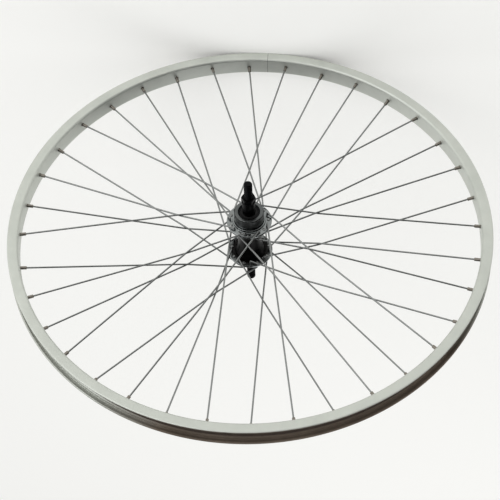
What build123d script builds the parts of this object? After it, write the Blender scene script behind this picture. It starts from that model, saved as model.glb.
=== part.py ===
# Rear bicycle wheel without a tyre: an aluminium rim laced by tangent spokes to a screw-on freewheel hub.
# The axle lies along Y with the drive side towards -Y, and the valve hole is at the top.
# The origin is the wheel's centre, on the axle and midway between the rim's side walls.

import os
from math import cos, radians, sin, sqrt, tan

from build123d import *

# Lacing, where half the spokes go to each flange
spoke_count = 36
cross_count = 3
hole_stagger = 1.5
weave_gap = 0.15

# Rim, a single-wall extrusion rolled into a hoop
rim_outer_dia = 571.0
rim_depth = 13.0
rim_width = 24.0
bead_seat_depth = 6.0
bed_thickness = 2.0
bed_corner_width = 2.0
bed_corner_rise = 2.0
hook_thickness = 2.4
hook_height = 2.0
wall_thickness = 1.5
bead_seat_width = 2.7
well_slope_width = 2.2
valve_hole_dia = 8.6

# Rubber rim strip that bridges the nipple heads in the well
strip_thickness = 0.8
strip_side_clearance = 0.1
strip_valve_clearance = 0.4

# Plain gauge spoke, a round wire drawn with few flats because it is repeated so often
wire_dia = 2.0
wire_sides = 6
spoke_head_dia = 3.8
spoke_head_thickness = 1.0
elbow_cut = 1.5
elbow_clearance = 0.1

# Nipple with square wrench flats and a round head
nipple_flats = 3.3
nipple_corner_cut = 0.6
nipple_reach = 8.5
nipple_head_dia = 6.0
nipple_head_height = 1.8
nipple_head_rise = 1.1
nipple_hole_clearance = 0.4
nipple_bore_clearance = 0.1
thread_engagement = 7.0
thread_end_gap = 0.5

# Flanges, with distances along the axle measured from the middle of the rim
drive_flange_offset = 20.0
plain_flange_offset = 35.0
flange_dia = 53.0
flange_thickness = 3.2
flange_seat_dia = 35.2
hole_circle_dia = 45.0
spoke_hole_dia = 2.6
freewheel_stop_dia = 39.0
freewheel_stop_width = 2.9

# Hub shell that the flanges are pressed on
barrel_dia = 29.0
flare_dia = 37.0
flare_length = 8.0
thread_boss_dia = 34.8
thread_boss_length = 13.0
thread_boss_end_chamfer = 0.8
plain_collar_dia = 35.0
plain_collar_width = 5.4
shell_bore_dia = 22.0

# Sealed ball bearings
bearing_dia = 26.0
bearing_width = 8.0
bearing_recess = 0.8
bearing_ring_wall = 1.7
ball_count = 7
race_clearance = 0.05
seal_thickness = 0.8
seal_inset = 0.7
seal_lip_clearance = 0.08
seat_clearance = 0.01

# Axle and the pieces that clamp the inner rings
axle_dia = 10.0
axle_length = 174.0
axle_end_chamfer = 0.8
axle_clearance = 0.03
dropout_width = 126.0
sleeve_dia = 13.0
spacer_dia = 15.5
lock_washer_dia = 17.0
lock_washer_thickness = 1.4
locknut_flats = 15.0
locknut_height = 5.0
locknut_corner_cut = 0.7

os.makedirs("parts", exist_ok=True)

# Radii and half widths that several pieces share
rim_outer_r = rim_outer_dia / 2
rim_inner_r = rim_outer_r - rim_depth
bead_seat_r = rim_outer_r - bead_seat_depth
well_r = rim_inner_r + bed_thickness
rim_half = rim_width / 2
bed_half = rim_half - bed_corner_width
hook_half = rim_half - hook_thickness
wall_half = rim_half - wall_thickness
seat_half = wall_half - bead_seat_width
well_half = seat_half - well_slope_width
wire_r = wire_dia / 2
drive, plain = -1, 1
flange_offset = {drive: drive_flange_offset, plain: plain_flange_offset}
hole_pitch = 360 / spoke_count
valve_angle = 90.0


def wheel_point(radius, angle, along):
    """A point at a radius and an angle from +X towards +Z, at a distance along the axle."""
    return Vector(radius * cos(radians(angle)), along, radius * sin(radians(angle)))


def radial_plane(radius, angle, along):
    """A plane whose normal points straight out from the axle."""
    return Plane(wheel_point(radius, angle, along), x_dir=(0, 1, 0), z_dir=wheel_point(1, angle, 0))


def facing(side, along):
    """A plane across the axle that faces out of one side of the wheel."""
    return Plane((0, side * along, 0), x_dir=(1, 0, 0), z_dir=(0, side, 0))


class Spoke:
    """Where one spoke runs: through its flange hole, round its elbow, past its partner and into the rim."""

    def __init__(self, number):
        self.side = drive if number % 2 else plain
        self.turn = 1 if number % 4 < 2 else -1
        self.rim_angle = valve_angle + (number + 0.5) * hole_pitch
        self.rim_along = self.side * hole_stagger
        self.hub_angle = self.rim_angle + self.turn * cross_count * 2 * hole_pitch
        flange_along = self.side * flange_offset[self.side]
        outward = self.side * self.turn
        hub_hole = wheel_point(hole_circle_dia / 2, self.hub_angle, flange_along)
        aim = wheel_point(rim_inner_r + bed_thickness / 2, self.rim_angle, self.rim_along)

        # The last crossing lies on the line that halves the angle between a spoke and its partner.
        crossing = radians(self.hub_angle - self.turn * (cross_count * 2 - 1) * hole_pitch)
        across = Vector(-sin(crossing), 0, cos(crossing))
        share = hub_hole.dot(across) / (hub_hole - aim).dot(across)
        weave = Vector(0, outward * (wire_r + weave_gap), 0)
        self.weave_point = hub_hole + (aim - hub_hole) * share - weave

        # The elbow stands far enough off the flange for the wire to clear the flange's edge.
        edge_run = flange_dia / 2 - hole_circle_dia / 2
        run_length = (self.weave_point - hub_hole).length
        lean = (flange_offset[self.side] + wire_dia) / run_length
        standoff = flange_thickness / 2 + wire_r + lean * 2 * edge_run + elbow_clearance
        corner = hub_hole + Vector(0, outward * max(standoff, flange_thickness / 2 + elbow_cut), 0)
        self.leg = Vector(0, outward, 0)
        self.run = (self.weave_point - corner).normalized()
        self.head_point = hub_hole - self.leg * (flange_thickness / 2 + elbow_clearance / 2)
        self.leg_point = corner - self.leg * elbow_cut
        self.run_point = corner + self.run * elbow_cut

        # The nipple lies along the last stretch, with its head lifted clear of the well by its tilt.
        self.pull = (aim - self.weave_point).normalized()
        radial = wheel_point(1, self.rim_angle, 0)
        tilt = radians(self.pull.get_angle(radial))
        head_lift = nipple_head_dia / 2 * tan(tilt) + elbow_clearance
        self.nipple_seat = aim + self.pull * (bed_thickness / 2 / cos(tilt) + head_lift)
        self.nipple_end = aim - self.pull * nipple_reach
        self.wire_end = self.nipple_end + self.pull * thread_engagement
        flat_way = Vector(0, 1, 0) - self.pull * self.pull.Y
        self.nipple_plane = Plane(self.nipple_end, x_dir=flat_way, z_dir=self.pull)
        self.rim_hole_plane = radial_plane(rim_inner_r - bed_thickness, self.rim_angle, self.rim_along)
        self.flange_hole_plane = Plane(hub_hole - Vector(0, flange_thickness, 0), z_dir=(0, 1, 0))


spokes = [Spoke(number) for number in range(spoke_count)]
valve_plane = radial_plane(rim_inner_r - bed_thickness, valve_angle, 0)

# Rim: one side of the section from the spoke bed out to the hook and back into the well
rim_side = [
    (rim_inner_r, bed_half),
    (rim_inner_r + bed_corner_rise, rim_half),
    (rim_outer_r, rim_half),
    (rim_outer_r, hook_half),
    (rim_outer_r - hook_height, hook_half),
    (bead_seat_r, wall_half),
    (bead_seat_r, seat_half),
    (well_r, well_half),
]
rim_other_side = [(radius, -along) for radius, along in reversed(rim_side)]
nipple_hole_dia = nipple_flats + 2 * nipple_corner_cut + nipple_hole_clearance
with BuildPart() as rim:
    with BuildSketch(Plane.XY):
        with BuildLine():
            Polyline(rim_side + rim_other_side, close=True)
        make_face()
    revolve(axis=Axis.Y)
    with BuildSketch(*[spoke.rim_hole_plane for spoke in spokes]):
        RegularPolygon(nipple_hole_dia / 2, wire_sides, major_radius=False)
    extrude(amount=3 * bed_thickness, mode=Mode.SUBTRACT)
    with BuildSketch(valve_plane):
        Circle(valve_hole_dia / 2)
    extrude(amount=3 * bed_thickness, mode=Mode.SUBTRACT)
rim.part.label = "rim"
export_step(rim.part, "parts/rim.step")

# Rim strip: a flat rubber band that lies on the slopes of the well
strip_inner_r = well_r + nipple_head_height + nipple_head_rise
well_spread = well_slope_width * (strip_inner_r - well_r) / (bead_seat_r - well_r)
strip_half = well_half + well_spread - strip_side_clearance
with BuildPart() as rim_strip:
    with BuildSketch(Plane.XY):
        with Locations((strip_inner_r, 0)):
            Rectangle(strip_thickness, 2 * strip_half, align=(Align.MIN, Align.CENTER))
    revolve(axis=Axis.Y)
    with BuildSketch(valve_plane):
        Circle(valve_hole_dia / 2 + strip_valve_clearance)
    extrude(amount=rim_depth, mode=Mode.SUBTRACT)
rim_strip.part.label = "rim_strip"
export_step(rim_strip.part, "parts/rim_strip.step")

# Spokes: a bent wire with a flat head, swept along its own path
for number, path in enumerate(spokes):
    name = f"spoke_{number + 1:02d}"
    with BuildPart() as spoke:
        with BuildLine() as wire:
            Polyline(path.head_point, path.leg_point, path.run_point, path.weave_point, path.wire_end)
        with BuildSketch(Plane(path.head_point, z_dir=path.leg)):
            RegularPolygon(wire_r, wire_sides)
        sweep(path=wire.wire(), transition=Transition.RIGHT)
        with BuildSketch(Plane(path.head_point, z_dir=-path.leg)):
            RegularPolygon(spoke_head_dia / 2, wire_sides)
        extrude(amount=spoke_head_thickness)
    spoke.part.label = name
    export_step(spoke.part, f"parts/{name}.step")

# Nipples: square-shanked nuts, headed in the well and bored for the spoke's threaded end
seat_length = max((path.nipple_seat - path.nipple_end).length for path in spokes)
nipple_planes = [path.nipple_plane for path in spokes]
with BuildPart() as nipples:
    with BuildSketch(*nipple_planes) as shank:
        Rectangle(nipple_flats, nipple_flats)
        chamfer(shank.vertices(), nipple_corner_cut)
    extrude(amount=seat_length)
    with BuildSketch(*[plane.offset(seat_length) for plane in nipple_planes]):
        RegularPolygon(nipple_head_dia / 2, wire_sides)
    extrude(amount=nipple_head_height)
    with BuildSketch(*nipple_planes):
        RegularPolygon(wire_r + nipple_bore_clearance, wire_sides, major_radius=False)
    extrude(amount=thread_engagement + thread_end_gap, mode=Mode.SUBTRACT)
nipples.part.label = "nipples"
export_step(nipples.part, "parts/nipples.step")

# Hub shell: the turned section, from the freewheel thread across both flange seats and back through the bore
flange_inner = {side: offset - flange_thickness / 2 for side, offset in flange_offset.items()}
flange_outer = {side: offset + flange_thickness / 2 for side, offset in flange_offset.items()}
boss_start = flange_outer[drive] + freewheel_stop_width
shell_end = {drive: boss_start + thread_boss_length, plain: flange_outer[plain] + plain_collar_width}
bearing_face = {side: end - bearing_recess for side, end in shell_end.items()}
bearing_back = {side: face - bearing_width for side, face in bearing_face.items()}
bearing_seat_r = bearing_dia / 2 + seat_clearance
flange_seat_r = flange_seat_dia / 2
shell_section = [
    (bearing_seat_r, -shell_end[drive]),
    (thread_boss_dia / 2 - thread_boss_end_chamfer, -shell_end[drive]),
    (thread_boss_dia / 2, -shell_end[drive] + thread_boss_end_chamfer),
    (thread_boss_dia / 2, -boss_start),
    (flange_seat_r, -boss_start),
    (flange_seat_r, -flange_inner[drive]),
    (flare_dia / 2, -flange_inner[drive]),
    (barrel_dia / 2, -flange_inner[drive] + flare_length),
    (barrel_dia / 2, flange_inner[plain] - flare_length),
    (flare_dia / 2, flange_inner[plain]),
    (flange_seat_r, flange_inner[plain]),
    (flange_seat_r, flange_outer[plain]),
    (plain_collar_dia / 2, flange_outer[plain]),
    (plain_collar_dia / 2, shell_end[plain]),
    (bearing_seat_r, shell_end[plain]),
    (bearing_seat_r, bearing_back[plain]),
    (shell_bore_dia / 2, bearing_back[plain]),
    (shell_bore_dia / 2, -bearing_back[drive]),
    (bearing_seat_r, -bearing_back[drive]),
]
with BuildPart() as hub_shell:
    with BuildSketch(Plane.XY):
        with BuildLine():
            Polyline(shell_section, close=True)
        make_face()
    revolve(axis=Axis.Y)
hub_shell.part.label = "hub_shell"
export_step(hub_shell.part, "parts/hub_shell.step")

# Flanges: drilled discs, where the one on the drive side has a collar that the freewheel runs up to
for side, side_name, stop_width in ((drive, "drive", freewheel_stop_width), (plain, "plain", 0)):
    with BuildPart() as flange:
        with BuildSketch(facing(side, flange_inner[side])):
            Circle(flange_dia / 2)
        extrude(amount=flange_thickness)
        if stop_width:
            with BuildSketch(facing(side, flange_outer[side])):
                Circle(freewheel_stop_dia / 2)
            extrude(amount=stop_width)
        with BuildSketch(facing(side, flange_inner[side])):
            Circle(flange_seat_r + seat_clearance)
        extrude(amount=flange_thickness + stop_width, mode=Mode.SUBTRACT)
        with BuildSketch(*[path.flange_hole_plane for path in spokes if path.side == side]):
            RegularPolygon(spoke_hole_dia / 2, wire_sides, major_radius=False)
        extrude(amount=2 * flange_thickness, mode=Mode.SUBTRACT)
    flange.part.label = f"{side_name}_flange"
    export_step(flange.part, f"parts/{side_name}_flange.step")

# Axle: a solid spindle, threaded on the real one from end to end
axle_hole_r = axle_dia / 2 + axle_clearance
with BuildPart() as axle:
    with BuildSketch(Plane.XZ.offset(-axle_length / 2)):
        Circle(axle_dia / 2)
    extrude(amount=axle_length)
    chamfer(axle.edges().filter_by(GeomType.CIRCLE), axle_end_chamfer)
axle.part.label = "axle"
export_step(axle.part, "parts/axle.step")

# Sleeve: the tube inside the shell that holds the two inner rings apart
with BuildPart() as axle_sleeve:
    with BuildSketch(Plane.XZ.offset(-bearing_back[plain])):
        Circle(sleeve_dia / 2)
        Circle(axle_hole_r, mode=Mode.SUBTRACT)
    extrude(amount=bearing_back[plain] + bearing_back[drive])
axle_sleeve.part.label = "axle_sleeve"
export_step(axle_sleeve.part, "parts/axle_sleeve.step")

# Sizes inside a bearing, where a ball is a block cut to equal facets with its corners on the true sphere
outer_race_r = bearing_dia / 2 - bearing_ring_wall
inner_race_r = axle_hole_r + bearing_ring_wall
ball_circle_r = (outer_race_r + inner_race_r) / 2
ball_r = (outer_race_r - inner_race_r) / 2 - race_clearance
ball_facet = 2 * ball_r / sqrt(5 + 2 * sqrt(2))
ball_corner_cut = ball_facet / sqrt(2)
ball_block = ball_facet + 2 * ball_corner_cut
clamp_end = dropout_width / 2 - locknut_height - lock_washer_thickness

# Bearings, spacers and locknuts, the same on both sides apart from their places
for side, side_name in ((drive, "drive"), (plain, "plain")):
    face = bearing_face[side]
    back = bearing_back[side]
    locknut_base = facing(side, dropout_width / 2 - locknut_height)

    with BuildPart() as outer_ring:
        with BuildSketch(facing(side, back)):
            Circle(bearing_dia / 2)
            Circle(outer_race_r, mode=Mode.SUBTRACT)
        extrude(amount=bearing_width)
    outer_ring.part.label = f"{side_name}_bearing_outer_ring"
    export_step(outer_ring.part, f"parts/{side_name}_bearing_outer_ring.step")

    with BuildPart() as inner_ring:
        with BuildSketch(facing(side, back)):
            Circle(inner_race_r)
            Circle(axle_hole_r, mode=Mode.SUBTRACT)
        extrude(amount=bearing_width)
    inner_ring.part.label = f"{side_name}_bearing_inner_ring"
    export_step(inner_ring.part, f"parts/{side_name}_bearing_inner_ring.step")

    with BuildPart(facing(side, back + bearing_width / 2)) as balls:
        with PolarLocations(ball_circle_r, ball_count):
            Box(ball_block, ball_block, ball_block)
        chamfer(balls.edges(), ball_corner_cut)
    balls.part.label = f"{side_name}_bearing_balls"
    export_step(balls.part, f"parts/{side_name}_bearing_balls.step")

    with BuildPart() as seal:
        with BuildSketch(facing(side, face - seal_inset - seal_thickness)):
            Circle(outer_race_r - seat_clearance)
            Circle(inner_race_r + seal_lip_clearance, mode=Mode.SUBTRACT)
        extrude(amount=seal_thickness)
    seal.part.label = f"{side_name}_bearing_seal"
    export_step(seal.part, f"parts/{side_name}_bearing_seal.step")

    with BuildPart() as spacer:
        with BuildSketch(facing(side, face)):
            Circle(spacer_dia / 2)
            Circle(axle_hole_r, mode=Mode.SUBTRACT)
        extrude(amount=clamp_end - face)
    spacer.part.label = f"{side_name}_spacer"
    export_step(spacer.part, f"parts/{side_name}_spacer.step")

    with BuildPart() as lock_washer:
        with BuildSketch(facing(side, clamp_end)):
            Circle(lock_washer_dia / 2)
            Circle(axle_hole_r, mode=Mode.SUBTRACT)
        extrude(amount=lock_washer_thickness)
    lock_washer.part.label = f"{side_name}_lock_washer"
    export_step(lock_washer.part, f"parts/{side_name}_lock_washer.step")

    with BuildPart() as locknut:
        with BuildSketch(locknut_base):
            RegularPolygon(locknut_flats / 2, 6, major_radius=False)
        extrude(amount=locknut_height)
        outer_face = locknut.faces().sort_by(Axis.Y)[0 if side == drive else -1]
        chamfer(outer_face.edges(), locknut_corner_cut)
        with BuildSketch(locknut_base):
            Circle(axle_hole_r)
        extrude(amount=locknut_height, mode=Mode.SUBTRACT)
    locknut.part.label = f"{side_name}_locknut"
    export_step(locknut.part, f"parts/{side_name}_locknut.step")
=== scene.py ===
from math import cos, pi, radians, sin, tan

import bmesh
import bpy
from mathutils import Matrix, Vector
from mathutils.geometry import interpolate_bezier


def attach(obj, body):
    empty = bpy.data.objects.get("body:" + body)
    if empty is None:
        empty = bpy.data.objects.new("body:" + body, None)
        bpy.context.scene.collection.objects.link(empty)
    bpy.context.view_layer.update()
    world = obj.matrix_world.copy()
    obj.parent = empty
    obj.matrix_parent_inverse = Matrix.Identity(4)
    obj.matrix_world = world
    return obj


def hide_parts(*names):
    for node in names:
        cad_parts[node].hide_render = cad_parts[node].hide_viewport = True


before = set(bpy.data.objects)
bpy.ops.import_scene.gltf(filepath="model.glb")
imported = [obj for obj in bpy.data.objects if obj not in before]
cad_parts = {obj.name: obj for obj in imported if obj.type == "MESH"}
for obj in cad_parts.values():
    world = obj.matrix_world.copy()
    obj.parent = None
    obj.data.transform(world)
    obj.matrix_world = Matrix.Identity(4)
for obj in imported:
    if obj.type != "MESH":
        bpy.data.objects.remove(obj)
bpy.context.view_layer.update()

# Camera: it looks at the drive side from in front and above. It is turned over, so that the wheel's top, with
# the valve hole, is nearest and lies at the bottom of the square picture.
# Its place is in metres, and its focal length is 3.2 times the picture's width.
sensor_width = 36.0
focal_widths = 3.2
camera_place = Vector((-0.13626, -1.47619, 1.17881))
camera_right = Vector((-0.99614, 0.02446, -0.08424))
camera_up = Vector((0.05127, -0.61696, -0.78532))
camera_back = Vector((-0.07118, -0.78661, 0.61333))
camera_axes = Matrix((camera_right, camera_up, camera_back)).transposed()
camera_data = bpy.data.cameras.new("camera")
camera_data.sensor_width = sensor_width
camera_data.lens = sensor_width * focal_widths
camera_data.clip_end = 50
camera = bpy.data.objects.new("camera", camera_data)
camera.matrix_world = Matrix.Translation(camera_place) @ camera_axes.to_4x4()
bpy.context.scene.collection.objects.link(camera)
bpy.context.scene.camera = camera

# Rim: a single-wall aluminium extrusion, rolled into a hoop and joined by a seam opposite the valve hole.
# Its side walls end in hooks for the tyre, and its bed is drilled for the nipples and the valve.
# Sizes are in millimetres, and along means along the axle from the wheel's middle.
rim_inner_r = 272.5
bed_thickness = 2.0
valve_angle = pi / 2
valve_hole_r = 4.3
nipple_hole_r = 2.45
spoke_count = 36
hole_stagger = 1.5
drill_length = 8.0


def linear(code):
    """Turns an sRGB hex colour into linear values with full alpha."""
    parts = [int(code[i:i + 2], 16) / 255 for i in (1, 3, 5)]
    return [c / 12.92 if c <= 0.04045 else ((c + 0.055) / 1.055) ** 2.4 for c in parts] + [1.0]


def add_node(owner, kind, settings):
    """Adds one node to a material or the world and returns its outputs.

    A setting names an attribute of the node, or a socket by name or number, whose value may be an output.
    """
    node = owner.node_tree.nodes.new("ShaderNode" + kind)
    for name, value in settings.items():
        if isinstance(value, bpy.types.NodeSocket):
            owner.node_tree.links.new(value, node.inputs[name])
        elif isinstance(name, int) or name in node.inputs:
            node.inputs[name].default_value = value
        else:
            setattr(node, name, value)
    return node.outputs


def start_material(name, **values):
    """Starts a material with plain values on its shader's sockets."""
    material = bpy.data.materials.new(name)
    material.use_nodes = True
    for socket, value in values.items():
        material.node_tree.nodes["Principled BSDF"].inputs[socket.replace("_", " ")].default_value = value
    return material


def link_shader(material, **outputs):
    """Links outputs of nodes to the sockets of a material's shader."""
    for socket, output in outputs.items():
        place = material.node_tree.nodes["Principled BSDF"].inputs[socket.replace("_", " ")]
        material.node_tree.links.new(output, place)


def add_round_lines(material, spacing):
    """Adds nodes for lines round the axle, and returns the place, its axes, its radius and the lines."""
    spot = add_node(material, "TexCoord", {})["Object"]
    axes = add_node(material, "SeparateXYZ", {0: spot})
    flat = add_node(material, "CombineXYZ", {"X": axes["X"], "Z": axes["Z"]})[0]
    radius = add_node(material, "VectorMath", {"operation": "LENGTH", 0: flat})["Value"]
    across = add_node(material, "Math", {"operation": "ADD", 0: radius, 1: axes["Y"]})[0]
    wave = 2 * pi * 1000 / spacing
    phase = add_node(material, "Math", {"operation": "MULTIPLY", 0: across, 1: wave})[0]
    lines = add_node(material, "Math", {"operation": "SINE", 0: phase})[0]
    return spot, axes, radius, lines


def wheel_point(radius, angle, along):
    """A point at a radius, at an angle from +X towards +Z, and along the axle."""
    return Vector((radius * cos(angle), along, radius * sin(angle)))


def on_side(section, side):
    """Gives a section of (radius, along, rounding) corners on the +Y side, or mirrored to the -Y side."""
    return [(radius, side * along, rounding) for radius, along, rounding in section]


def turn(section, steps):
    """Turns a closed section of (radius, along, rounding) corners round the axle."""
    bm = bmesh.new()
    corners = [bm.verts.new((radius, along, 0)) for radius, along, _ in section]
    bm.faces.new(corners)
    for rounding in sorted({corner[2] for corner in section} - {0}):
        chosen = [vert for vert, corner in zip(corners, section) if corner[2] == rounding]
        bmesh.ops.bevel(
            bm, geom=chosen, offset=rounding, affect="VERTICES", segments=3, profile=0.5, material=-1
        )
    bmesh.ops.delete(bm, geom=bm.faces[:], context="FACES_ONLY")
    outline = bm.verts[:] + bm.edges[:]
    bmesh.ops.spin(
        bm, geom=outline, cent=(0, 0, 0), axis=(0, 1, 0), angle=2 * pi, steps=steps, use_merge=True
    )
    bmesh.ops.remove_doubles(bm, verts=bm.verts[:], dist=0.0005)
    bmesh.ops.recalc_face_normals(bm, faces=bm.faces[:])
    return bm


def shade(mesh, sharp):
    """Smooths a mesh, but for edges that turn by more than an angle in degrees."""
    mesh.shade_smooth()
    mesh.set_sharp_from_angle(angle=radians(sharp))


def make_piece(name, bm, material, sharp=35):
    """Makes a finished object, in metres, of a mesh that is drawn in millimetres."""
    bmesh.ops.scale(bm, vec=(0.001, 0.001, 0.001), verts=bm.verts[:])
    mesh = bpy.data.meshes.new(name)
    bm.to_mesh(mesh)
    bm.free()
    shade(mesh, sharp)
    mesh.materials.append(material)
    piece = bpy.data.objects.new(name, mesh)
    bpy.context.scene.collection.objects.link(piece)
    return piece


def cut(piece, bm, operation="DIFFERENCE", sharp=35):
    """Cuts a piece with a mesh that is drawn in millimetres, or keeps only what they share."""
    cutter = make_piece("cutter", bm, piece.data.materials[0])
    modifier = piece.modifiers.new("cut", "BOOLEAN")
    modifier.object = cutter
    modifier.operation = operation
    modifier.solver = "EXACT"
    whole = piece.data
    finished = piece.evaluated_get(bpy.context.evaluated_depsgraph_get())
    piece.data = bpy.data.meshes.new_from_object(finished)
    piece.data.name = piece.name
    piece.modifiers.clear()
    shade(piece.data, sharp)
    bpy.data.meshes.remove(whole)
    bpy.data.meshes.remove(cutter.data)


def peg(bm, middle, way, radius, sides=24):
    """Adds a peg to a mesh, as a drill for a hole."""
    place = Matrix.Translation(middle) @ way.to_track_quat("Z", "X").to_matrix().to_4x4()
    bmesh.ops.create_cone(
        bm, cap_ends=True, segments=sides, radius1=radius, radius2=radius, depth=drill_length, matrix=place
    )


# Extruded aluminium, satin polished: fine lines run round the hoop and give a soft streaked gloss.
# The lines are drawn 0.8 mm apart, coarser than real ones, so that they show in a close view.
# Painted shade, brown like dirt, darkens the tyre channel beside the valve hole, most on the side away from
# the front lamp, and a dark line marks the seam.
# Materials see places in metres, so a size in millimetres is divided by 1000 there.
line_spacing = 0.8
blotch_size = 30.0
speck_size = 2.5
seam_half_width = 0.18
channel_floor_r = 273.8
channel_half_width = 11.2
shade_way = wheel_point(1, radians(112), 0)
shade_start = 160.0
shade_full = 226.0
dull_aluminium = linear("#BDC1BA")
bright_aluminium = linear("#DBDED7")
dark_shade_tone = linear("#554B42")
pale_shade_tone = linear("#837668")
seam_colour = linear("#3A3936")
rim_material = start_material("satin_polished_aluminium")
spot, axes, radius, lines = add_round_lines(rim_material, line_spacing)
blotches = {"Scale": 1000 / blotch_size, "Detail": 4.0, "Roughness": 0.6, "Vector": spot}
blotch = add_node(rim_material, "TexNoise", blotches)[0]
speck = add_node(rim_material, "TexNoise", {"Scale": 1000 / speck_size, "Detail": 2.0, "Vector": spot})[0]
tones = {"data_type": "RGBA", 0: blotch, 6: dull_aluminium, 7: bright_aluminium}
tone = add_node(rim_material, "Mix", tones)[2]
seam_place = {"operation": "COMPARE", 0: axes["X"], 1: 0.0, 2: seam_half_width / 1000}
near_seam = add_node(rim_material, "Math", seam_place)[0]
below = add_node(rim_material, "Math", {"operation": "LESS_THAN", 0: axes["Z"], 1: 0.0})[0]
seam = add_node(rim_material, "Math", {"operation": "MULTIPLY", 0: near_seam, 1: below})[0]
# Painted shade: the tyre channel is darkened brown, fading out towards the side that the front lamp lights.
deep = add_node(rim_material, "Math", {"operation": "GREATER_THAN", 0: radius, 1: channel_floor_r / 1000})[0]
channel_place = {"operation": "COMPARE", 0: axes["Y"], 1: 0.0, 2: channel_half_width / 1000}
within = add_node(rim_material, "Math", channel_place)[0]
inside = add_node(rim_material, "Math", {"operation": "MULTIPLY", 0: deep, 1: within})[0]
facing = add_node(rim_material, "VectorMath", {"operation": "DOT_PRODUCT", 0: spot, 1: shade_way})["Value"]
shade_range = {"Value": facing, "From Min": shade_start / 1000, "From Max": shade_full / 1000, "To Min": 0.08}
shade_fade = add_node(rim_material, "MapRange", shade_range)[0]
channel_shade = add_node(rim_material, "Math", {"operation": "MULTIPLY", 0: inside, 1: shade_fade})[0]
shade_tone = add_node(rim_material, "Mix", {"data_type": "RGBA", 0: blotch, 6: dark_shade_tone, 7: pale_shade_tone})[2]
shaded_tone = add_node(rim_material, "Mix", {"data_type": "RGBA", 0: channel_shade, 6: tone, 7: shade_tone})[2]
colour = add_node(rim_material, "Mix", {"data_type": "RGBA", 0: seam, 6: shaded_tone, 7: seam_colour})[2]
clean_gloss = add_node(rim_material, "MapRange", {"Value": blotch, "To Min": 0.42, "To Max": 0.58})[0]
gloss = add_node(rim_material, "MapRange", {"Value": channel_shade, "To Min": clean_gloss, "To Max": 0.7})[0]
metal = add_node(rim_material, "MapRange", {"Value": channel_shade, "To Min": 0.8, "To Max": 0.35})[0]
height = add_node(rim_material, "Math", {"operation": "MULTIPLY_ADD", 0: lines, 1: 0.35, 2: speck})[0]
bump = add_node(rim_material, "Bump", {"Strength": 0.25, "Distance": 0.00005, "Height": height})[0]
link_shader(rim_material, Base_Color=colour, Metallic=metal, Roughness=gloss, Normal=bump)

# Half of the section, from the bed up the outer wall, round the hook and down to the well.
rim_side = [
    (rim_inner_r, 10.0, 0.8),
    (274.5, 12.0, 0.8),
    (284.0, 12.0, 0.3),
    (285.5, 11.6, 0.4),
    (285.5, 9.9, 0.5),
    (284.0, 9.5, 0.5),
    (282.6, 9.9, 0.4),
    (281.6, 10.5, 0.4),
    (279.5, 10.5, 0.4),
    (279.5, 7.8, 0.5),
    (rim_inner_r + bed_thickness, 5.6, 0.8),
]
rim_section = rim_side + on_side(reversed(rim_side), -1)
rim = make_piece("rim_hoop", turn(rim_section, 360), rim_material)
bed_middle_r = rim_inner_r + bed_thickness / 2
drill = bmesh.new()
for number in range(spoke_count):
    angle = valve_angle + (number + 0.5) * 2 * pi / spoke_count
    offset = -hole_stagger if number % 2 else hole_stagger
    peg(drill, wheel_point(bed_middle_r, angle, offset), wheel_point(1, angle, 0), nipple_hole_r)
peg(drill, wheel_point(bed_middle_r, valve_angle, 0), wheel_point(1, valve_angle, 0), valve_hole_r, 32)
cut(rim, drill)
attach(rim, "wheel")
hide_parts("rim")

# Rim strip: a band of brown-black rubber, stretched into the well over the nipple heads, with a valve hole.
# It lies under tension, so its face is flat, and it is dusty from the tube that lay on it.
strip_inner_r = 277.4
strip_outer_r = 278.2
strip_half_width = 6.75
strip_hole_r = valve_hole_r + 0.4
# Dusty rubber: matt all over, brown-black with a paler bloom of dust, and a fine grain.
dust_size = 12.0
grain_size = 1.5
dark_rubber = linear("#2C231D")
dusty_rubber = linear("#54473D")
strip_material = start_material("dusty_rubber", Roughness=0.85)
spot = add_node(strip_material, "TexCoord", {})["Object"]
dusting = {"Scale": 1000 / dust_size, "Detail": 5.0, "Roughness": 0.65, "Vector": spot}
dust = add_node(strip_material, "TexNoise", dusting)[0]
grain = add_node(strip_material, "TexNoise", {"Scale": 1000 / grain_size, "Detail": 2.0, "Vector": spot})[0]
colour = add_node(strip_material, "Mix", {"data_type": "RGBA", 0: dust, 6: dark_rubber, 7: dusty_rubber})[2]
bump = add_node(strip_material, "Bump", {"Strength": 0.4, "Distance": 0.0002, "Height": grain})[0]
link_shader(strip_material, Base_Color=colour, Normal=bump)
strip_section = [
    (strip_inner_r, strip_half_width, 0.2),
    (strip_outer_r, strip_half_width, 0.3),
    (strip_outer_r, -strip_half_width, 0.3),
    (strip_inner_r, -strip_half_width, 0.2),
]
strip = make_piece("rim_band", turn(strip_section, 240), strip_material)
drill = bmesh.new()
peg(drill, wheel_point(strip_inner_r, valve_angle, 0), wheel_point(1, valve_angle, 0), strip_hole_r, 32)
cut(strip, drill)
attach(strip, "wheel")
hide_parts("rim_strip")

# Spokes: drawn stainless wire with a cold formed head and an elbow, hooked through the holes of a flange.
# Each crosses three others of its side, and at the last crossing the two lean against each other.
cross_count = 3
wire_r = 1.0
weave_gap = 0.15
flange_offset = {-1: 20.0, 1: 35.0}
flange_r = 26.5
flange_thickness = 3.2
hole_circle_r = 22.5
elbow_cut = 1.5
elbow_clearance = 0.1
elbow_bend = 2.2
lean_reach = 6.0
nipple_reach = 8.5
nipple_head_r = 3.0
thread_engagement = 7.0
# Stations of the head, as (distance behind the flange's face, radius).
spoke_head = ((1.0, 0.9), (0.85, 1.5), (0.5, 1.9), (0.15, 1.85), (0.0, wire_r))


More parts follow.
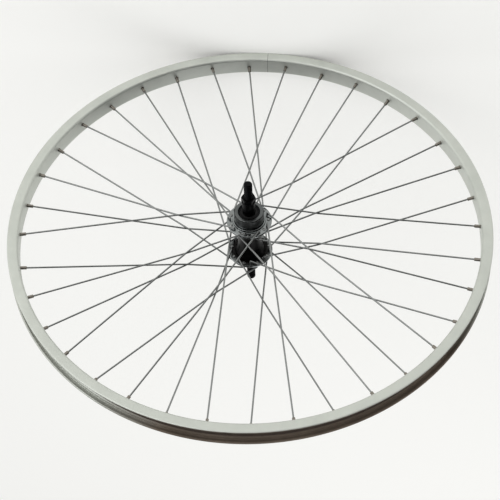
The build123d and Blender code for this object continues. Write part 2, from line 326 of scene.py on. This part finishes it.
def draw_bar(bm, stations, sides, flats=None):
    """Draws a bar through stations of (point, radius), with four flats if a distance across them is given."""
    line, radii = zip(*stations)
    heading = (line[1] - line[0]).normalized()
    turned = heading.to_track_quat("Z", "X")
    place = Matrix.Translation(line[0]) @ turned.to_matrix().to_4x4()
    disc = bmesh.ops.create_circle(bm, cap_ends=True, segments=sides, radius=radii[0], matrix=place)
    ring = disc["verts"]
    if flats:
        limit = flats / 2 * radii[0] / max(radii)
        for vert in ring:
            x, y, _ = place.inverted() @ vert.co
            vert.co = place @ Vector((max(-limit, min(limit, x)), max(-limit, min(limit, y)), 0))
    edges = [edge for edge in bm.edges if edge.verts[0] in ring and edge.verts[1] in ring]
    for i in range(1, len(line)):
        ahead = line[min(i + 1, len(line) - 1)] - line[i]
        behind = line[i] - line[i - 1]
        middle = (ahead.normalized() + behind.normalized()).normalized()
        turned = heading.rotation_difference(middle) @ turned
        heading = middle
        grown = Matrix.Scale(radii[i] / radii[i - 1], 4)
        fresh = Matrix.Translation(line[i]) @ turned.to_matrix().to_4x4()
        made = bmesh.ops.extrude_edge_only(bm, edges=edges)["geom"]
        ring = [item for item in made if isinstance(item, bmesh.types.BMVert)]
        edges = [item for item in made if isinstance(item, bmesh.types.BMEdge)]
        bmesh.ops.transform(bm, matrix=fresh @ grown @ place.inverted(), verts=ring)
        place = fresh
    bmesh.ops.contextual_create(bm, geom=edges)


def add_patches(material, size, noise, colours, roughness):
    """Lets a material's colour and gloss drift in patches of a given size, and returns the patches."""
    spot = add_node(material, "TexCoord", {})["Object"]
    patches = add_node(material, "TexNoise", {"Scale": 1000 / size, "Vector": spot, **noise})[0]
    first, last = [linear(code) for code in colours]
    colour = add_node(material, "Mix", {"data_type": "RGBA", 0: patches, 6: first, 7: last})[2]
    limits = {"Value": patches, "To Min": roughness[0], "To Max": roughness[1]}
    gloss = add_node(material, "MapRange", limits)[0]
    link_shader(material, Base_Color=colour, Roughness=gloss)
    return patches


class SpokeLine:
    """Where one spoke runs: its head, its elbow, its last crossing and its nipple.

    Every second spoke goes to the drive side, and every second pair turns the other way round the hub.
    """

    def __init__(self, number):
        side = -1 if number % 2 else 1
        self.side = side
        turn_way = 1 if number % 4 < 2 else -1
        pitch = 2 * pi / spoke_count
        rim_angle = valve_angle + (number + 0.5) * pitch
        hub_angle = rim_angle + turn_way * cross_count * 2 * pitch
        outward = side * turn_way
        self.hole = wheel_point(hole_circle_r, hub_angle, side * flange_offset[side])
        aim = wheel_point(bed_middle_r, rim_angle, side * hole_stagger)
        crossing = hub_angle - turn_way * (cross_count * 2 - 1) * pitch
        across = Vector((-sin(crossing), 0, cos(crossing)))
        share = self.hole.dot(across) / (self.hole - aim).dot(across)
        self.weave = self.hole + (aim - self.hole) * share - Vector((0, outward * (wire_r + weave_gap), 0))
        lean = (flange_offset[side] + 2 * wire_r) / (self.weave - self.hole).length
        standoff = flange_thickness / 2 + wire_r + lean * 2 * (flange_r - hole_circle_r) + elbow_clearance
        self.leg = Vector((0, outward, 0))
        self.corner = self.hole + self.leg * max(standoff, flange_thickness / 2 + elbow_cut)
        self.run = (self.weave - self.corner).normalized()
        self.head = self.hole - self.leg * (flange_thickness / 2 + elbow_clearance / 2)
        self.pull = (aim - self.weave).normalized()
        tilt = self.pull.angle(wheel_point(1, rim_angle, 0))
        seat_rise = bed_thickness / 2 / cos(tilt) + nipple_head_r * tan(tilt) + elbow_clearance
        self.nipple_end = aim - self.pull * nipple_reach
        self.nipple_seat = aim + self.pull * seat_rise
        self.wire_end = self.nipple_end + self.pull * thread_engagement


# Drawn stainless wire: a smooth dull gloss under a patchy grey film from handling.
film_size = 18.0
film_noise = {"Detail": 4.0, "Roughness": 0.6}
spoke_material = start_material("drawn_stainless_wire", Metallic=1.0)
add_patches(spoke_material, film_size, film_noise, ("#7A7C7B", "#A0A2A1"), (0.22, 0.45))

spoke_lines = [SpokeLine(number) for number in range(spoke_count)]
for number, way in enumerate(spoke_lines, 1):
    bend_start = way.corner - way.leg * elbow_bend
    bend_end = way.corner + way.run * elbow_bend
    elbow = interpolate_bezier(bend_start, way.corner, way.corner, bend_end, 8)
    lean_start = way.weave - way.run * lean_reach
    lean_end = way.weave + way.pull * lean_reach
    lean = interpolate_bezier(lean_start, way.weave, way.weave, lean_end, 6)
    stations = [(way.head - way.leg * back, r) for back, r in spoke_head]
    stations += [(point, wire_r) for point in elbow + lean + [way.wire_end]]
    bm = bmesh.new()
    draw_bar(bm, stations, 12)
    bmesh.ops.recalc_face_normals(bm, faces=bm.faces[:])
    spoke = make_piece(f"wire_spoke_{number:02d}", bm, spoke_material, 50)
    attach(spoke, "wheel")
    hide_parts(f"spoke_{number:02d}")

# Nipples: turned brass nuts with nickel plating gone dark, screwed on the spokes' ends through the rim's bed.
# The round shank has four milled flats for the spoke key, a rounded mouth and a wide head in the well.
shank_r = 1.96
key_flats = 3.3
# Tarnished nickel: a soft warm grey shine with dull brownish stains.
stain_size = 4.0
nipple_material = start_material("tarnished_nickel_plate", Metallic=1.0)
add_patches(nipple_material, stain_size, {"Detail": 4.0}, ("#736E67", "#A39D94"), (0.3, 0.6))
bm = bmesh.new()
for way in spoke_lines:
    seat = (way.nipple_seat - way.nipple_end).length
    shank = ((0, 1.3), (0.25, 1.7), (0.7, shank_r), (seat, shank_r))
    head = ((seat, 2.8), (seat + 0.2, nipple_head_r), (seat + 1.2, 2.9), (seat + 1.8, 2.0))
    draw_bar(bm, [(way.nipple_end + way.pull * along, r) for along, r in shank], 24, key_flats)
    draw_bar(bm, [(way.nipple_end + way.pull * along, r) for along, r in head], 20)
bmesh.ops.recalc_face_normals(bm, faces=bm.faces[:])
nipples = make_piece("spoke_nuts", bm, nipple_material, 40)
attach(nipples, "wheel")
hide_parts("nipples")

# Hub shell: an aluminium barrel, waisted between the flange seats, turned, polished and bored for a bearing
# at each end. The drive side ends in a threaded boss that a freewheel screws on.
bearing_seat_r = 13.01
bearing_back = {-1: 28.7, 1: 33.2}
bore_r = 11.0
boss_core_r = 16.8
boss_crest_r = 17.4
boss_thread_end = -36.9
flange_seat_r = 17.6
shoulder_r = 18.5
waist_r = 14.5
plain_end_r = 17.5
# Polished aluminium: a mirror gloss with a dull bloom and faint lathe lines.
# The lines are drawn 0.4 mm apart, coarser than real ones, so that they show in a close view.
# Painted shade and painted dark reflection, in the near-black of old grease, lie round the barrel, up the
# flanges' inner faces, and on the boss and its thread.
turning_spacing = 0.4
bloom_size = 10.0
barrel_middle = 7.5
barrel_half_length = 26.1
shade_full_r = 24.0
shade_end_r = 31.0
ragged_edge = 6.0
boss_middle = -31.2
boss_half_length = 5.7
thread_root_r = 17.0
bloomed_aluminium = linear("#787C7C")
clean_aluminium = linear("#9CA0A0")
hub_shade_colour = linear("#100F0E")
hub_material = start_material("polished_aluminium")
spot, axes, radius, lines = add_round_lines(hub_material, turning_spacing)
bloom = add_node(hub_material, "TexNoise", {"Scale": 1000 / bloom_size, "Detail": 4.0, "Vector": spot})[0]
tones = {"data_type": "RGBA", 0: bloom, 6: bloomed_aluminium, 7: clean_aluminium}
tone = add_node(hub_material, "Mix", tones)[2]
polish = add_node(hub_material, "MapRange", {"Value": bloom, "To Min": 0.08, "To Max": 0.2})[0]
# Painted shade: the barrel between the flanges, and the flanges' inner faces near it, fading out with a
# ragged edge.
barrel = {"operation": "COMPARE", 0: axes["Y"], 1: barrel_middle / 1000, 2: barrel_half_length / 1000}
on_barrel = add_node(hub_material, "Math", barrel)[0]
ragged = {"operation": "MULTIPLY_ADD", 0: bloom, 1: ragged_edge / 1000, 2: radius}
ragged_radius = add_node(hub_material, "Math", ragged)[0]
fading = {"From Min": shade_full_r / 1000, "From Max": shade_end_r / 1000, "To Min": 1.0, "To Max": 0.0}
shade_reach = add_node(hub_material, "MapRange", {"Value": ragged_radius, **fading})[0]
barrel_shade = add_node(hub_material, "Math", {"operation": "MULTIPLY", 0: on_barrel, 1: shade_reach})[0]
# Painted shade: the roots of the boss's thread, and the boss's outer end.
boss = {"operation": "COMPARE", 0: axes["Y"], 1: boss_middle / 1000, 2: boss_half_length / 1000}
on_boss = add_node(hub_material, "Math", boss)[0]
sunk = {"From Min": thread_root_r / 1000, "From Max": boss_crest_r / 1000, "To Min": 1.0, "To Max": 0.65}
below_crest = add_node(hub_material, "MapRange", {"Value": radius, **sunk})[0]
root_shade = add_node(hub_material, "Math", {"operation": "MULTIPLY", 0: on_boss, 1: below_crest})[0]
end_place = {"operation": "LESS_THAN", 0: axes["Y"], 1: boss_thread_end / 1000}
at_end = add_node(hub_material, "Math", end_place)[0]
end_shade = add_node(hub_material, "Math", {"operation": "MULTIPLY", 0: at_end, 1: 0.55})[0]
boss_shade = add_node(hub_material, "Math", {"operation": "MAXIMUM", 0: root_shade, 1: end_shade})[0]
hub_shade = add_node(hub_material, "Math", {"operation": "MAXIMUM", 0: barrel_shade, 1: boss_shade})[0]
colour = add_node(hub_material, "Mix", {"data_type": "RGBA", 0: hub_shade, 6: tone, 7: hub_shade_colour})[2]
gloss = add_node(hub_material, "MapRange", {"Value": hub_shade, "To Min": polish, "To Max": 0.36})[0]
metal = add_node(hub_material, "MapRange", {"Value": hub_shade, "To Min": 1.0, "To Max": 0.8})[0]
bump = add_node(hub_material, "Bump", {"Strength": 0.12, "Distance": 0.00003, "Height": lines})[0]
link_shader(hub_material, Base_Color=colour, Metallic=metal, Roughness=gloss, Normal=bump)
shell_section = [
    (bearing_seat_r, -37.5, 0.3),
    (16.2, -37.5, 0.2),
    (boss_core_r, boss_thread_end, 0.2),
    (boss_core_r, -25.6, 0.2),
    (16.5, -25.2, 0.1),
    (16.5, -24.5, 0.1),
    (flange_seat_r, -24.5, 0),
    (flange_seat_r, -18.4, 0),
    (shoulder_r, -18.4, 0.3),
    (waist_r, -10.4, 6.0),
    (waist_r, 25.4, 6.0),
    (shoulder_r, 33.4, 0.3),
    (flange_seat_r, 33.4, 0),
    (flange_seat_r, 36.6, 0),
    (plain_end_r, 36.6, 0),
    (plain_end_r, 42.0, 0.6),
    (bearing_seat_r, 42.0, 0.3),
    (bearing_seat_r, bearing_back[1], 0),
    (bore_r, bearing_back[1], 0.3),
    (bore_r, -bearing_back[-1], 0.3),
    (bearing_seat_r, -bearing_back[-1], 0),
]
shell = make_piece("hub_barrel", turn(shell_section, 128), hub_material)
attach(shell, "wheel")
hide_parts("hub_shell")

# Freewheel thread: 24 turns to the inch, cut in the aluminium of the shell's boss.
# It is drawn as one ridge that winds round the boss from its end to the groove beside the flange.
boss_pitch = 1.058
boss_crest_width = 0.62
boss_thread_length = 11.3


def wind_thread(core_r, crest_r, crest_width, pitch, start, length, turn_steps):
    """Winds a ridge with sloping flanks and a flat crest along the axle, with its foot sunk in the core."""
    bm = bmesh.new()
    foot_r = core_r - 0.1
    flank = (pitch - crest_width) / 2
    ridge = ((foot_r, 0), (crest_r, flank), (crest_r, pitch - flank), (foot_r, pitch))
    bm.faces.new([bm.verts.new((r, start + along, 0)) for r, along in ridge])
    steps = int((length / pitch - 1) * turn_steps)
    angle = 2 * pi * steps / turn_steps
    rise = (0, pitch / turn_steps, 0)
    bmesh.ops.spin(
        bm, geom=bm.faces[:], cent=(0, 0, 0), axis=(0, 1, 0), dvec=rise, angle=angle, steps=steps
    )
    bmesh.ops.recalc_face_normals(bm, faces=bm.faces[:])
    return bm


bm = wind_thread(
    boss_core_r, boss_crest_r, boss_crest_width, boss_pitch, boss_thread_end, boss_thread_length, 72
)
thread = make_piece("freewheel_thread", bm, hub_material, 20)
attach(thread, "wheel")

# Flanges: polished aluminium discs, pressed on the shell and drilled for the spoke heads.
# The one on the drive side has a collar outside it, which the freewheel is tightened against.
hub_sides = ((-1, "drive"), (1, "plain"))
flange_bore_r = 17.61
collar_r = 19.5
collar_length = 2.9
spoke_hole_r = 1.3
for side, side_name in hub_sides:
    inner_face = flange_offset[side] - flange_thickness / 2
    outer_face = flange_offset[side] + flange_thickness / 2
    disc = [(flange_bore_r, inner_face, 0.2), (flange_r, inner_face, 0.9), (flange_r, outer_face, 0.9)]
    if side_name == "drive":
        collar_end = outer_face + collar_length
        disc += [(collar_r, outer_face, 0.4), (collar_r, collar_end, 0.5), (flange_bore_r, collar_end, 0.2)]
    else:
        disc += [(flange_bore_r, outer_face, 0.2)]
    flange = make_piece(f"{side_name}_spoke_flange", turn(on_side(disc, side), 128), hub_material)
    drill = bmesh.new()
    for way in spoke_lines:
        if way.side == side:
            peg(drill, way.hole, Vector((0, 1, 0)), spoke_hole_r, 20)
    cut(flange, drill)
    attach(flange, "wheel")
    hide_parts(f"{side_name}_flange")

# Bearings: ground steel rings with a moulded rubber seal between them, pressed into the ends of the shell.
# The seal's lip rides on the inner ring, which stays still with the axle. The hidden balls keep their mesh.
bearing_width = 8.0
bearing_r = 13.0
outer_ring_bore_r = 11.3
inner_ring_r = 6.73
axle_fit_r = 5.03
seal_r = 11.29
seal_lip_r = 6.82
# Ground bearing steel: bright and smooth, with a thin uneven film of oil.
oil_size = 5.0
bearing_material = start_material("ground_bearing_steel", Metallic=1.0)
add_patches(bearing_material, oil_size, {"Detail": 3.0}, ("#8B8D90", "#B4B6B8"), (0.12, 0.32))
# Painted shade: the outer rings are bright bearing steel painted nearly black, for the shade of the recess
# they sit in, with a soft gloss.
shade_patch_size = 4.0
shaded_ring_material = start_material("shaded_bearing_steel", Metallic=1.0)
add_patches(shaded_ring_material, shade_patch_size, {"Detail": 3.0}, ("#0E0F10", "#1E2022"), (0.2, 0.4))
# Moulded nitrile rubber: black and mostly matt, shinier where grease has spread.
grease_size = 3.0
seal_material = start_material("moulded_nitrile_rubber", Specular_IOR_Level=0.25)
add_patches(seal_material, grease_size, {"Detail": 3.0}, ("#070707", "#111111"), (0.4, 0.75))
for side, side_name in hub_sides:
    back = bearing_back[side]
    face = back + bearing_width
    outer = [
        (bearing_r, back, 0.4),
        (bearing_r, face, 0.4),
        (outer_ring_bore_r, face, 0.2),
        (outer_ring_bore_r, back, 0.2),
    ]
    inner = [
        (inner_ring_r, back, 0.2),
        (inner_ring_r, face, 0.2),
        (axle_fit_r, face, 0.4),
        (axle_fit_r, back, 0.4),
    ]
    seal = [
        (seal_r, face - 1.5, 0),
        (seal_r, face - 0.7, 0.15),
        (10.3, face - 0.7, 0.2),
        (10.0, face - 0.95, 0.2),
        (8.2, face - 0.95, 0.2),
        (7.9, face - 0.7, 0.2),
        (seal_lip_r, face - 0.8, 0.15),
        (seal_lip_r, face - 1.5, 0),
    ]
    # The outer rings take the nearly black steel, which is painted shade.
    for name, section, material, body, node, slot in (
        ("outer_race", outer, shaded_ring_material, "wheel", "bearing_outer_ring", "bearing_steel"),
        ("inner_race", inner, bearing_material, "axle_set", "bearing_inner_ring", "bearing_steel"),
        ("seal_lip", seal, seal_material, "wheel", "bearing_seal", "seal_rubber"),
    ):
        ring = make_piece(f"{side_name}_{name}", turn(on_side(section, side), 96), material)
        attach(ring, body)
        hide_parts(f"{side_name}_{node}")
    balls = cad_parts[f"{side_name}_bearing_balls"]
    balls.data.materials.clear()
    balls.data.materials.append(bearing_material)

# Axle: a solid steel spindle, blackened and threaded 10 mm by 1 mm, with a chamfer at each end.
# Its thread is drawn where it shows, outside the locknuts, and the rest is plain inside the hub.
# The sleeve round it, between the inner rings, can't be seen and keeps its mesh.
axle_half = 87.0
axle_r = 5.0
axle_core_r = 4.45
axle_tip_r = 3.9
axle_chamfer = 0.6
axle_pitch = 1.0
axle_crest_width = 0.15
axle_thread_length = 24.2
plain_half = 62.0
plain_step = 0.1
# Blackened steel: a dark oxide skin with a dull gloss, uneven from handling.
wear_size = 4.0
wear_noise = {"Detail": 5.0, "Roughness": 0.65}
black_material = start_material("blackened_steel", Metallic=0.9)
wear = add_patches(black_material, wear_size, wear_noise, ("#050506", "#121314"), (0.28, 0.55))
bump = add_node(black_material, "Bump", {"Strength": 0.15, "Distance": 0.0001, "Height": wear})[0]
link_shader(black_material, Normal=bump)
thread_end = axle_half - axle_chamfer
spindle_half = [
    (axle_half, axle_tip_r),
    (thread_end, axle_core_r),
    (plain_half, axle_core_r),
    (plain_half - plain_step, axle_r),
]
stations = [(Vector((0, -along, 0)), r) for along, r in spindle_half]
stations += [(Vector((0, along, 0)), r) for along, r in reversed(spindle_half)]
bm = bmesh.new()
draw_bar(bm, stations, 48)
bmesh.ops.recalc_face_normals(bm, faces=bm.faces[:])
axle = make_piece("spindle", bm, black_material)
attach(axle, "axle_set")
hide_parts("axle")
thread_starts = {"drive_end_thread": -thread_end, "plain_end_thread": thread_end - axle_thread_length}
for name, start in thread_starts.items():
    bm = wind_thread(axle_core_r, axle_r, axle_crest_width, axle_pitch, start, axle_thread_length, 48)
    thread = make_piece(name, bm, black_material, 20)
    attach(thread, "axle_set")
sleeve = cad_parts["axle_sleeve"]
sleeve.data.materials.clear()
sleeve.data.materials.append(black_material)

# Spacers, lock washers and locknuts: turned and blackened steel, run up the axle against each inner ring.
# The nut's corners are turned off at an angle, and its outer face is what the frame's dropout bears on.
dropout_half = 63.0
nut_flats = 15.0
nut_height = 5.0
nut_corner_r = 9.0
nut_face_r = 7.4
washer_r = 8.5
washer_thickness = 1.4
spacer_r = 7.75
groove_r = 7.35
for side, side_name in hub_sides:
    face = bearing_back[side] + bearing_width
    nut_base = dropout_half - nut_height
    clamp_end = nut_base - washer_thickness
    groove = (face + clamp_end) / 2
    spacer = [
        (axle_fit_r, face, 0.3),
        (spacer_r, face, 0.4),
        (spacer_r, groove - 0.8, 0.1),
        (groove_r, groove - 0.4, 0.1),
        (groove_r, groove + 0.4, 0.1),
        (spacer_r, groove + 0.8, 0.1),
        (spacer_r, clamp_end, 0.5),
        (axle_fit_r, clamp_end, 0.3),
    ]
    washer = [
        (axle_fit_r, clamp_end, 0.1),
        (washer_r, clamp_end, 0.3),
        (washer_r, nut_base, 0.3),
        (axle_fit_r, nut_base, 0.1),
    ]
    for name, section, node in (("spacer_tube", spacer, "spacer"), ("tab_washer", washer, "lock_washer")):
        ring = make_piece(f"{side_name}_{name}", turn(on_side(section, side), 72), black_material)
        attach(ring, "axle_set")
        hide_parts(f"{side_name}_{node}")
    blank = [
        (axle_fit_r, nut_base, 0.2),
        (8.2, nut_base, 0.1),
        (nut_corner_r, nut_base + 0.4, 0.1),
        (nut_corner_r, dropout_half - 0.9, 0.1),
        (nut_face_r, dropout_half, 0.1),
        (axle_fit_r, dropout_half, 0.2),
    ]
    nut = make_piece(f"{side_name}_hex_nut", turn(on_side(blank, side), 96), black_material)
    nut_middle = Vector((0, side * (nut_base + nut_height / 2), 0))
    hexagon = bmesh.new()
    peg(hexagon, nut_middle, Vector((0, 1, 0)), nut_flats / 2 / cos(pi / 6), 6)
    cut(nut, hexagon, "INTERSECT", 20)
    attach(nut, "axle_set")
    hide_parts(f"{side_name}_locknut")

# Floor: a wide sheet of matt pale paper that the wheel stands on and throws its shadow on.
# Some way off it fades into the colour of the room, so that no edge shows behind the wheel.
floor_size = 12000
floor_height = -285.6
fade_start = 1400
fade_end = 3000
floor_colour = linear("#FAFAF8")
room_colour = linear("#F8F8F7")


def add_seen(owner):
    """Adds nodes that give 1 for what the camera sees, itself or in metal and glass, and otherwise 0."""
    path = add_node(owner, "LightPath", {})
    either = {"operation": "MAXIMUM", 0: path["Is Glossy Ray"], 1: path["Is Transmission Ray"]}
    mirrored = add_node(owner, "Math", either)[0]
    return add_node(owner, "Math", {"operation": "MAXIMUM", 0: path["Is Camera Ray"], 1: mirrored})[0]


floor_material = start_material(
    "matt_studio_floor", Base_Color=floor_colour, Roughness=0.9, Specular_IOR_Level=0.1
)
spot = add_node(floor_material, "TexCoord", {})["Object"]
away = add_node(floor_material, "VectorMath", {"operation": "LENGTH", 0: spot})["Value"]
fade = {"interpolation_type": "SMOOTHSTEP", "From Min": fade_start / 1000, "From Max": fade_end / 1000}
far = add_node(floor_material, "MapRange", {"Value": away, **fade})[0]
faded = add_node(floor_material, "Math", {"operation": "MULTIPLY", 0: far, 1: add_seen(floor_material)})[0]
paper = floor_material.node_tree.nodes["Principled BSDF"].outputs[0]
haze = add_node(floor_material, "Emission", {"Color": room_colour, "Strength": 1.0})[0]
blend = add_node(floor_material, "MixShader", {0: faded, 1: paper, 2: haze})[0]
floor_surface = floor_material.node_tree.nodes["Material Output"].inputs["Surface"]
floor_material.node_tree.links.new(blend, floor_surface)
bm = bmesh.new()
bmesh.ops.create_grid(bm, x_segments=1, y_segments=1, size=floor_size)
bmesh.ops.translate(bm, vec=(0, 0, floor_height), verts=bm.verts[:])
floor = make_piece("studio_floor", bm, floor_material)

# Dark card: a wide matt sheet, bent over the wheel from behind it to the front and hung lower on one side.
# Only metal mirrors it, so that polished faces get the dark bands that they have in a real room.
card_r = 1900
card_half_width = 5000
card_back_angle = 18
card_bend = 142
card_tilt = -20
card_colour = linear("#262626")
card_material = start_material(
    "matt_black_card", Base_Color=card_colour, Roughness=1.0, Specular_IOR_Level=0.0
)
bm = bmesh.new()
bm.edges.new([bm.verts.new((across, card_r, 0)) for across in (-card_half_width, card_half_width)])
raised = Matrix.Rotation(radians(card_back_angle), 3, "X")
bmesh.ops.rotate(bm, cent=(0, 0, 0), matrix=raised, verts=bm.verts[:])
back_edge = bm.verts[:] + bm.edges[:]
bmesh.ops.spin(bm, geom=back_edge, cent=(0, 0, 0), axis=(1, 0, 0), angle=radians(card_bend), steps=35)
tilted = Matrix.Rotation(radians(card_tilt), 3, "Y")
bmesh.ops.rotate(bm, cent=(0, 0, 0), matrix=tilted, verts=bm.verts[:])
card = make_piece("dark_card", bm, card_material)
card.visible_camera = False
card.visible_diffuse = False
card.visible_shadow = False

# Light: a large soft panel in front of the drive side, a small weak one behind, and a pale room all round.
# The room gives a little less light than it looks to give, so that pale faces don't burn out to white.
room_light = 0.88
world = bpy.data.worlds.new("pale_room")
world.use_nodes = True
bpy.context.scene.world = world
background = world.node_tree.nodes["Background"]
background.inputs["Color"].default_value = room_colour
strength = add_node(world, "MapRange", {"Value": add_seen(world), "To Min": room_light, "To Max": 1.0})[0]
world.node_tree.links.new(strength, background.inputs["Strength"])
# Each panel has a place and a width in metres and a power in watts.
panels = (
    ("front_panel", Vector((1.5, -2.3, 1.25)), 2.2, 24),
    ("back_panel", Vector((-0.57, 1.38, 0.93)), 0.9, 2.6),
)
for name, place, width, power in panels:
    lamp = bpy.data.lights.new(name, "AREA")
    lamp.shape = "DISK"
    lamp.size = width
    lamp.energy = power
    panel = bpy.data.objects.new(name, lamp)
    panel.matrix_world = Matrix.Translation(place) @ place.to_track_quat("Z", "Y").to_matrix().to_4x4()
    bpy.context.scene.collection.objects.link(panel)

bpy.context.scene.view_settings.view_transform = "Standard"
